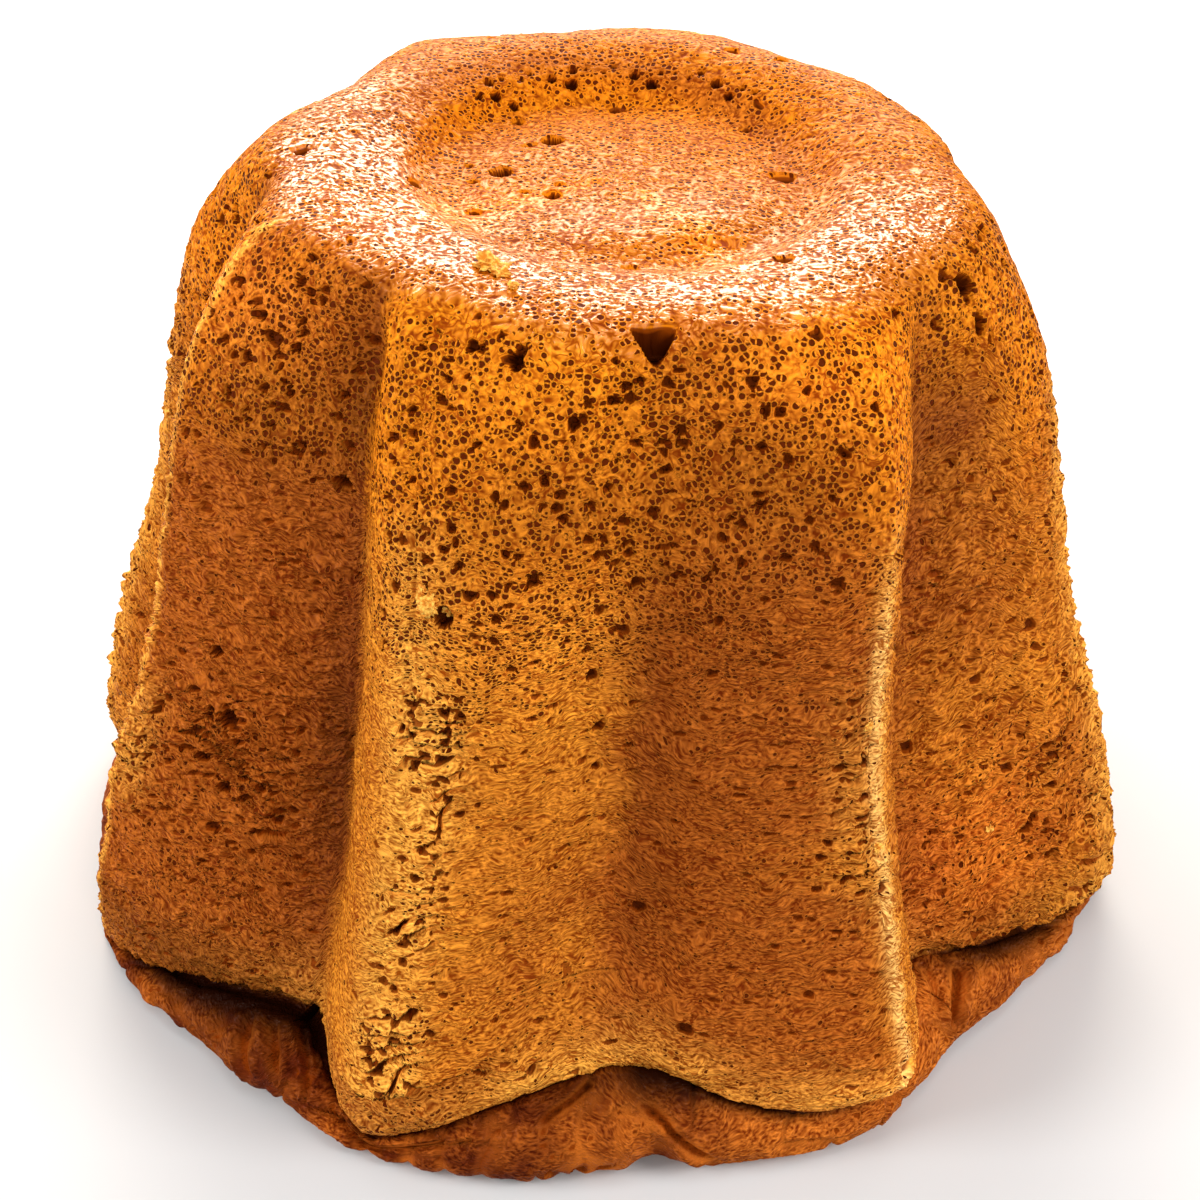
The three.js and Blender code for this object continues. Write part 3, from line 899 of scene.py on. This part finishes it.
# the layer that shows under the ledge at the front left, and painted shade in the crease
# of the dimple, darkest at its back wall
down_all = np.append(down, np.full(len(smooth) - side_points, -200.0))
lip_below = step(down_all, -16, -12) * hill(turn, -23, 13, 4) * golden
dimple_crease_shade = hill(from_middle, 36, 3.5) * (along < CREST_STATION)
dimple_crease_shade *= np.clip(0.2 + 0.5 * np.cos(np.radians(turn - 170)), 0, 0.6)

# the foot: paler at the front right and dark elsewhere, with painted shade in its wrinkles
# and along the tuck under the golden edge
baked_less = hill(turn, 30, 17, 4) + 0.4 * hill(turn, 5, 12)
baked_less += 0.9 * hill(turn, 62, 18) + 0.45 * hill(turn, -46, 12)
dark_crust_and_shade = 0.45 + 0.7 * cloud(smooth, 11, 1) + 0.5 * cloud(smooth, 3.5, 3) + 0.8 * (1 - foot)
dark_crust_and_shade = (dark_crust_and_shade + 0.5 * wrinkle) * (1 - 0.6 * np.clip(baked_less, 0, 1))

color = np.tile(HONEY, (len(smooth), 1))
# among these, the valley shade, the crease of the dimple and the foot's darkest wrinkles and tuck are
# painted shade, and the lines along the left and right front ridges are painted light
for over, share in (
    (BROWN, browning_and_shade),
    (AMBER, amber),
    (UMBER, 0.75 * painted_valley_shade + 0.25 * (browning_and_shade - 0.8) * crown),
    (GOLD, strip),
    (GOLD, left_ridge_highlight),
    (GOLD, pale_edge),
    (RIDGE_HIGHLIGHT, right_ridge_highlight),
    (GLAZE, skin),
    (FOAM, 0.75 * foamy),
    (GOLD, torn_gold),
    (LAYER, 0.8 * lip_below),
    (BROWN, dimple_crease_shade),
    (FOOT, 1 - golden),
    (FOOT_GOLD, (1 - golden) * baked_less),
    (FOOT_DARK, (1 - golden) * dark_crust_and_shade),
):
    color = paint(color, over, share)
for middle, high, wide, tall, change in TONE_AND_LIGHT_SPOTS:
    color = color * (1 + change * hill(turn, middle, wide) * hill(height, high, tall))[:, None]
# painted shade in pores, creases, holes and under lips and flakes
color = paint(color, HOLLOW_SHADE, 0.35 * hollow)
print("mean colour", color.mean(0).round(3))

# %% [markdown]
# ## What the material has to know
# The material can't see which part of the loaf it is on, so more numbers are kept at the
# points: where small pores and curled fibres are, how glazed the crust is, and two places
# for its patterns. In those places the height is drawn out, so that fibres and pores lie
# level on the side, as the rising dough pulled them.

# %% Marks at the points
FIBRE_STRETCH = 2.4  # how much longer a fibre is than it is thick
PORE_STRETCH = 1.7  # the same for a pore low on the side
PORES_ROUND_ABOVE = 108  # pores are as wide as they are high above this height, mm


def stretched(factor, highest):
    """Places whose height is drawn out by a factor below a height, so that a pattern made
    on them lies level there, and is as wide as it is high above it."""
    drawn = 1.05 * lay + (factor - 1) * np.minimum(lay - highest, 0)
    return np.stack([smooth[:, 0], smooth[:, 1], drawn], 1)


def also_ends(values):
    """The same values for the poles and underside as on the rings that they start from."""
    pole, floor_ring = values[top_rings[-1]].mean(0), values[side_rings[-1]]
    return np.concatenate([values, [pole, floor_ring.mean(0)], *[floor_ring] * len(UNDER_SHARES)])


fibres_above = 118 + 20 * right_calm + 6 * left_calm
fibre_warp = np.stack([cloud(smooth, 2.4, i) for i in (1, 2, 3)], 1) * [0.9, 0.9, 1.3]
fibre_place = stretched(FIBRE_STRETCH, fibres_above)
curly = step(cloud(fibre_place, 6, 2), -0.35, 0.35) * (1 - 0.15 * skin) * (1 - 0.7 * foot)

low_side = flank * (1 - step(height, 45, 75)) * step(np.abs(turn), 38, 50)
under_ledge = hill(turn, -19, 9) * step(along, 10.0, 10.4) * golden
porous = 0.9 * foamy + 0.7 * shoulder * (1 - skin) * (1 - 0.8 * calm)
porous += (0.1 + 0.22 * low_side) * flank + 0.3 * torn + 0.12 * edge + 0.35 * under_ledge
porous += 0.2 * step(height, 70, 105) * flank * (1 - calm)
porous += (0.5 + 0.15 * step(smooth[:, 1], -10, 30)) * skin
porous = np.clip(porous * (1 + 0.6 * cloud(smooth, 8, 3)), 0, 0.85) * golden

# the glaze is brightest in front and along the left, and dull on the right at the back
front_side = step(-smooth[:, 1] + 6 * wobble, -20, 30)
left_rim = step(-smooth[:, 0], 22, 42) * (1 - step(smooth[:, 1], 15, 40))
shiny = np.clip(front_side + 0.45 * left_rim, 0, 1) * (0.4 + 0.6 * step(along, 2.2, 3.2))
shiny *= 1 - 0.8 * step(smooth[:, 0], 15, 45) * step(smooth[:, 1], -30, 5)

marks = {
    "hollow": hollow,
    # painted shade in the gap under the golden edge
    "gap": gap_shade,
    "curly": curly,
    "skin": skin,
    "glaze": 0.02 + skin * (0.03 + 0.97 * shiny),
    "porous": porous,
    "fibre_place": fibre_place + fibre_warp,
    "pore_place": stretched(PORE_STRETCH, PORES_ROUND_ABOVE) + 0.4 * sway,
    "crust_color": np.append(color, np.ones((len(color), 1)), axis=1),
}
marks = {name: also_ends(values) for name, values in marks.items()}
print("marks:", *marks)

# %% [markdown]
# ## From grid to pieces
# One mesh that fine is too heavy to hand on, so the crust is parted along its valleys,
# where the eye doesn't look for detail: eight lobes and the top. Neighbours share their
# edge points and their normals, so no seam shows. Each piece is closed by a fan of
# triangles from its rim to one point deep in the loaf, the same for all, so that each is a
# solid wedge and together they fill the loaf.

# %% Closed wedge pieces
CORE = np.array([0.0, 0.0, 2.0])  # where all wedges meet, mm
WALL_STRIP = 0.02  # part of the UV square kept for the hidden walls
FIELD_KINDS = {1: ("FLOAT", "value"), 3: ("FLOAT_VECTOR", "vector"), 4: ("FLOAT_COLOR", "color")}


def wedge(name, faces, across, down):
    """A piece of the crust, closed towards the core. Its rim is every edge that only one
    of its triangles uses. across and down, 0 to 1, are its points' places in the map."""
    used, where = np.unique(faces, return_inverse=True)
    local = where.reshape(-1, 3)
    edges = np.concatenate([local[:, [0, 1]], local[:, [1, 2]], local[:, [2, 0]]])
    key = edges[:, 0] * len(used) + edges[:, 1]
    twin = edges[:, 1] * len(used) + edges[:, 0]
    rim = edges[~np.isin(key, twin)]
    walls = np.stack([rim[:, 1], rim[:, 0], np.full(len(rim), len(used))], 1)
    corners = np.concatenate([local, walls]).astype(np.int32)
    place = np.append(points[used], [CORE], axis=0) * MM

    mesh = bpy.data.meshes.new(name)
    mesh.vertices.add(len(place))
    mesh.vertices.foreach_set("co", place.astype(np.float32).ravel())
    mesh.loops.add(corners.size)
    mesh.loops.foreach_set("vertex_index", corners.ravel())
    mesh.polygons.add(len(corners))
    mesh.polygons.foreach_set("loop_start", np.arange(0, corners.size, 3, dtype=np.int32))
    mesh.update(calc_edges=True)

    uv = np.zeros((len(corners), 3, 2), np.float32)
    uv[: len(local), :, 0] = across[used][local]
    uv[: len(local), :, 1] = WALL_STRIP + (1 - WALL_STRIP) * (1 - down[used][local])
    uv[len(local):, :, 0] = np.arange(len(walls))[:, None] / len(walls)
    uv[len(local):, 1, 0] += 1 / len(walls)
    uv[len(local):, 2, 1] = WALL_STRIP / 2
    mesh.uv_layers.new(name="OFBake").data.foreach_set("uv", uv.ravel())
    for mark, values in marks.items():
        kind, field = FIELD_KINDS[values.shape[1] if values.ndim == 2 else 1]
        layer = mesh.attributes.new(mark, kind, "POINT")
        held = np.concatenate([values[used], values[:1]]).astype(np.float32)
        layer.data.foreach_set(field, held.ravel())

    mesh.polygons.foreach_set("use_smooth", np.ones(len(corners), bool))
    corner_normals = np.zeros((len(corners), 3, 3), np.float32)
    corner_normals[: len(local)] = normals[used][local]
    mesh.normals_split_custom_set(corner_normals.reshape(-1, 3))
    return add(name, mesh)


LOBE_NAMES = ["left", "front_left", "front", "front_right", "right", "back_right", "back", "back_left"]
across = np.zeros(len(points))
share_down = np.zeros(len(points))
for row, ring in enumerate(down_rings):
    share_down[ring] = row / len(down_rings)
    across[ring] = np.arange(AROUND) % LOBE_COLUMNS / LOBE_COLUMNS
share_down[bottom_pole] = 1.0
across[bottom_pole] = 0.5

pieces = []
for i, name in enumerate(LOBE_NAMES):
    mine = side_column // LOBE_COLUMNS == i
    right_edge = [ring[((i + 1) * LOBE_COLUMNS) % AROUND] for ring in down_rings]
    across[right_edge] = 1.0
    pieces.append(wedge("crust_" + name, side_faces[mine], across, share_down))
    across[right_edge] = 0.0
radius = np.hypot(*(points[:, :2] - points[top_pole, :2]).T)
reach = radius[rings[0]].max()
flat_x, flat_y = (0.5 + 0.48 * (points[:, :2] - points[top_pole, :2]) / reach).T
pieces.append(wedge("crust_top", top_faces, flat_x, 1 - flat_y))
for piece in pieces:
    print(piece.name, len(piece.data.polygons), "triangles")

# %% [markdown]
# ## The crust material
# The points hold the colour and all shapes down to about a millimetre. What is finer than
# that, the walls of the smallest crumb cells and the fibres between them, is worked out
# by the material itself, from the place on the loaf: as painted shade and painted
# highlights in the colour and as fine bumps. The top is glazed where the crust lay
# against the mould's flat end.

# %% Node helpers
def new_material(name):
    """A material and its shader. The helpers below add their nodes to the last one made."""
    global tree
    material = bpy.data.materials.new(name)
    material.use_nodes = True
    tree = material.node_tree
    return material, tree.nodes["Principled BSDF"]


def node(kind, inputs=None, **settings):
    """A shader node with its settings, and its inputs set to values or linked."""
    made = tree.nodes.new("ShaderNode" + kind)
    for name, value in settings.items():
        setattr(made, name, value)
    for name, value in (inputs or {}).items():
        if isinstance(value, bpy.types.NodeSocket):
            tree.links.new(value, made.inputs[name])
        else:
            made.inputs[name].default_value = value
    return made


def attribute(name, output="Fac"):
    """What is kept at the points of the mesh, as a number or by another output."""
    return node("Attribute", attribute_name=name).outputs[output]


def blend(share, a, b, mode="MIX"):
    """Two colours mixed by a share."""
    return node("Mix", {0: share, 6: a, 7: b}, data_type="RGBA", blend_type=mode).outputs[2]


def tinted(color, red, green, blue):
    """A colour multiplied by another one."""
    return blend(1.0, color, (red, green, blue, 1), "MULTIPLY")


def mapped(value, low, high, to_low=0.0, to_high=1.0):
    """A number stretched from one range to another and kept inside it."""
    ranges = {"From Min": low, "From Max": high, "To Min": to_low, "To Max": to_high}
    return node("MapRange", {"Value": value, **ranges}).outputs[0]


def calculate(operation, a, b=0.0):
    """Arithmetic on two numbers."""
    return node("Math", {0: a, 1: b}, operation=operation).outputs[0]


def times(a, b):
    """One number times another."""
    return calculate("MULTIPLY", a, b)


# %% Golden crust
def crust_material():
    """The crust: colour from the points, fine cells and fibres from the place."""
    material, shader = new_material("golden_crust")
    color = attribute("crust_color", "Color")
    hollow, porous = attribute("hollow"), attribute("porous")
    fibre_place = attribute("fibre_place", "Vector")
    pore_place = attribute("pore_place", "Vector")

    # curls lie where a noise is near its middle value, wisps are a finer noise
    folds = node("TexNoise", {"Vector": fibre_place, "Scale": 1 / 2.3, "Detail": 1.0})
    away = calculate("ABSOLUTE", calculate("SUBTRACT", folds.outputs["Fac"], 0.5))
    curl = times(mapped(away, 0.012, 0.05, 1.0, 0.0), attribute("curly"))
    wisps = node("TexNoise", {"Vector": fibre_place, "Scale": 1 / 0.95, "Detail": 1.0})
    wisp = mapped(wisps.outputs["Fac"], 0.3, 0.7)

    # small pores: bubbles of random size, present by chance, with a thin wall between them
    bubbles = {"Vector": pore_place, "Scale": 1 / 1.05}
    bubble = node("TexVoronoi", bubbles)
    between = node("TexVoronoi", bubbles, feature="DISTANCE_TO_EDGE").outputs["Distance"]
    chances = node("SeparateColor", {0: bubble.outputs["Color"]})
    spread = times(chances.outputs[1], mapped(porous, 0, 0.8, 0.2, 0.4))
    size = calculate("ADD", spread, mapped(porous, 0, 0.8, 0.2, 0.28))
    round_off = calculate("SUBTRACT", size, bubble.outputs["Distance"])
    inside = calculate("MINIMUM", round_off, calculate("SUBTRACT", between, 0.07))
    present = calculate("LESS_THAN", chances.outputs[0], porous)
    pore = times(mapped(inside, -0.02, 0.08), present)
    wall = times(mapped(inside, -0.2, -0.05), present)
    wall = calculate("MAXIMUM", wall, mapped(hollow, 0.05, 0.25))
    dent = times(mapped(round_off, -0.05, 0.12), present)

    # painted shade between the wisps and painted highlights on them and on the pore walls,
    # then painted shade laid over it in the curls, small pores, hollows and the gap under the
    # golden edge
    painted_light = calculate("MAXIMUM", wisp, times(wall, 0.9))
    base = blend(painted_light, tinted(color, 0.38, 0.22, 0.09), tinted(color, 1.55, 1.9, 2.5))
    for share, over in (
        (times(curl, mapped(wall, 0, 1, 0.85, 0)), tinted(color, 0.42, 0.22, 0.06)),
        (pore, (0.1, 0.013, 0.0006, 1)),
        (mapped(hollow, 0.35, 0.5, 0, 0.9), (0.22, 0.034, 0.001, 1)),
        (mapped(hollow, 0.75, 1.0, 0, 0.8), (0.06, 0.008, 0.0004, 1)),
        (attribute("gap"), (0.012, 0.002, 0.0003, 1)),
    ):
        base = blend(share, base, over)
    tree.links.new(base, shader.inputs["Base Color"])

    # a satin crust, with a coat of glaze on the wisps where nothing is open or curled
    tree.links.new(mapped(wisp, 0, 1, 0.6, 0.4), shader.inputs["Roughness"])
    shader.inputs["Specular IOR Level"].default_value = 0.02
    bare = calculate("MAXIMUM", calculate("MAXIMUM", hollow, pore), curl)
    shine = times(attribute("glaze"), mapped(bare, 0.1, 0.6, 1.0, 0.0))
    shine = times(shine, mapped(wisp, 0.35, 0.75, 0.02, 1.0))
    tree.links.new(shine, shader.inputs["Coat Weight"])
    shader.inputs["Coat Roughness"].default_value = 0.2
    shader.inputs["Coat IOR"].default_value = 1.75

    lift = calculate("SUBTRACT", times(wisp, 0.5), dent)
    depth = mapped(attribute("skin"), 0, 1, 1.0, 0.5)
    bump = node("Bump", {"Height": lift, "Strength": depth, "Distance": 0.5 * MM})
    for socket in ("Normal", "Coat Normal"):
        tree.links.new(bump.outputs[0], shader.inputs[socket])
    return material


golden_crust = crust_material()
for piece in pieces:
    piece.data.materials.append(golden_crust)
    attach(piece, "root")
    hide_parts("loaf")

# %% [markdown]
# ## Crumbs
# A few torn bits of yellow crumb cling to the crust, where the loaf stuck to the mould.
# Each is a small ball pulled out into spikes by folded noise and sunk a little into the
# crust. They are one mesh, because nobody would move them one by one.

# %% Ragged crumbs
def ball(rounds):
    """An even ball: the eight triangles of an octahedron, each cut in four `rounds` times,
    with every new corner pushed out to a distance of 1. Corners that meet become one."""
    signs = 2 * CORNERS - 1
    triangles = signs[:, :, None] * np.eye(3)
    inside_out = signs.prod(1) < 0
    triangles[inside_out] = triangles[inside_out][:, ::-1]
    for _ in range(rounds):
        halves = triangles + np.roll(triangles, -1, axis=1)
        halves /= np.linalg.norm(halves, axis=2, keepdims=True)
        a, b, c = np.moveaxis(triangles, 1, 0)
        ab, bc, ca = np.moveaxis(halves, 1, 0)
        quarters = (a, ab, ca), (ab, b, bc), (ca, bc, c), (ab, bc, ca)
        triangles = np.concatenate([np.stack(corners, 1) for corners in quarters])
    places, numbers = np.unique(triangles.reshape(-1, 3).round(9), axis=0, return_inverse=True)
    return places, numbers.reshape(-1, 3)


# turn, station or distance from the top's middle, size in mm
CRUMBS = (
    (-28.3, top_along(44.6), 2.3),
    (-24.6, top_along(46.4), 1.4),
    (-20.1, top_along(49.4), 0.8),
    (-21.6, 7.05, 1.5),
    (-19.6, 7.1, 1.3),
    (-22.6, 7.0, 0.8),
    (56.0, 9.3, 0.9),
    (30.5, 8.4, 0.9),
    (29.5, 7.7, 0.8),
    (160.0, 7.4, 1.5),
    (-130.0, 6.8, 1.4),
    (100.0, 8.2, 1.2),
    (-95.0, 7.5, 1.2),
)
ball_points, ball_faces = ball(4)
lumps = []
for i, (at_turn, at_along, size) in enumerate(CRUMBS):
    middle = place_on(at_turn, at_along)
    nearest = int(np.argmin(((smooth - middle) ** 2).sum(1)))
    out = outward[nearest]
    far = ball_points + 10 * i
    spikes = ridges(far, 0.75, i % 4) + 0.6 * ridges(far, 0.4, 2)
    lump = ball_points * (0.45 + 0.75 * spikes)[:, None] * size
    lump -= 0.45 * (lump @ out)[:, None] * out
    lumps.append(lump + crust[nearest] + 0.25 * size * out)
crumb_points = np.concatenate(lumps)
crumb_points[:, 2] = np.maximum(crumb_points[:, 2], 0.05)
crumb_faces = np.concatenate([ball_faces + i * len(ball_points) for i in range(len(lumps))])
crumb_mesh = bpy.data.meshes.new("crumbs")
crumb_mesh.from_pydata((crumb_points * MM).tolist(), [], crumb_faces.tolist())
crumb_mesh.polygons.foreach_set("use_smooth", np.ones(len(crumb_faces), bool))
crumbs = add("crumbs", crumb_mesh)
print(len(CRUMBS), "crumbs,", len(crumb_faces), "triangles")

# %% Yellow crumb
crumb_material, shader = new_material("yellow_crumb")
place = node("TexCoord").outputs["Object"]
speck = node("TexNoise", {"Vector": place, "Scale": 1600.0, "Detail": 2.0}).outputs["Fac"]
pale, dark = (*linear(252, 196, 84), 1), (*linear(214, 128, 26), 1)
tree.links.new(blend(mapped(speck, 0.4, 0.6), dark, pale), shader.inputs["Base Color"])
crumb_bump = node("Bump", {"Height": speck, "Strength": 0.6, "Distance": 0.3 * MM})
tree.links.new(crumb_bump.outputs[0], shader.inputs["Normal"])
shader.inputs["Roughness"].default_value = 0.55
shader.inputs["Specular IOR Level"].default_value = 0.2
crumb_mesh.materials.append(crumb_material)
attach(crumbs, "root")

# %% [markdown]
# ## Floor and light
# The loaf stands on a pale floor that runs out of sight. A large warm light behind it
# gives the glare on the glazed top, two at the sides shape the lobes, and weak ones above
# and in front open up the shadows. White surroundings fill in the rest.

# %% Floor
HALF_FLOOR = 3.0  # metres
GREY = 0.62
corners = [(x * HALF_FLOOR, y * HALF_FLOOR, 0) for x, y in ((-1, -1), (1, -1), (1, 1), (-1, 1))]
floor_mesh = bpy.data.meshes.new("floor")
floor_mesh.from_pydata(corners, [], [(0, 1, 2, 3)])
floor = add("floor", floor_mesh)
floor_material, floor_shader = new_material("pale_floor")
floor_shader.inputs["Base Color"].default_value = (GREY, GREY, GREY, 1)
floor_mesh.materials.append(floor_material)


# %% Light
def softbox(name, place, target, width, depth, watts, color=(1, 1, 1)):
    """A rectangular area light at `place`, facing `target`."""
    data = bpy.data.lights.new(name, "AREA")
    data.shape = "RECTANGLE"
    data.size, data.size_y = width, depth
    data.energy = watts
    data.color = color
    lamp = add(name, data)
    lamp.location = place
    aim = Vector(target) - Vector(place)
    lamp.rotation_euler = aim.to_track_quat("-Z", "Y").to_euler()


softbox("back", (-0.1, 1.1, 0.56), (0, 0, 0.151), 1.2, 0.75, 30, (1, 0.89, 0.77))
softbox("above", (0.0, 0.1, 1.35), (0, 0, 0.1), 0.9, 0.9, 3)
softbox("right", (1.05, -0.35, 0.75), (0, 0, 0.08), 0.5, 0.7, 11.5)
softbox("left", (-1.05, -0.3, 0.65), (0, 0, 0.08), 0.5, 0.7, 11)
softbox("front", (0.3, -1.2, 0.7), (0, 0, 0.05), 0.8, 0.6, 4.5)

world = bpy.data.worlds.new("studio")
world.use_nodes = True
background = world.node_tree.nodes["Background"]
background.inputs["Color"].default_value = (1, 1, 1, 1)
background.inputs["Strength"].default_value = 0.4
bpy.context.scene.world = world
bpy.context.scene.view_settings.view_transform = "Standard"
print("lights:", [lamp.name for lamp in bpy.data.lights])
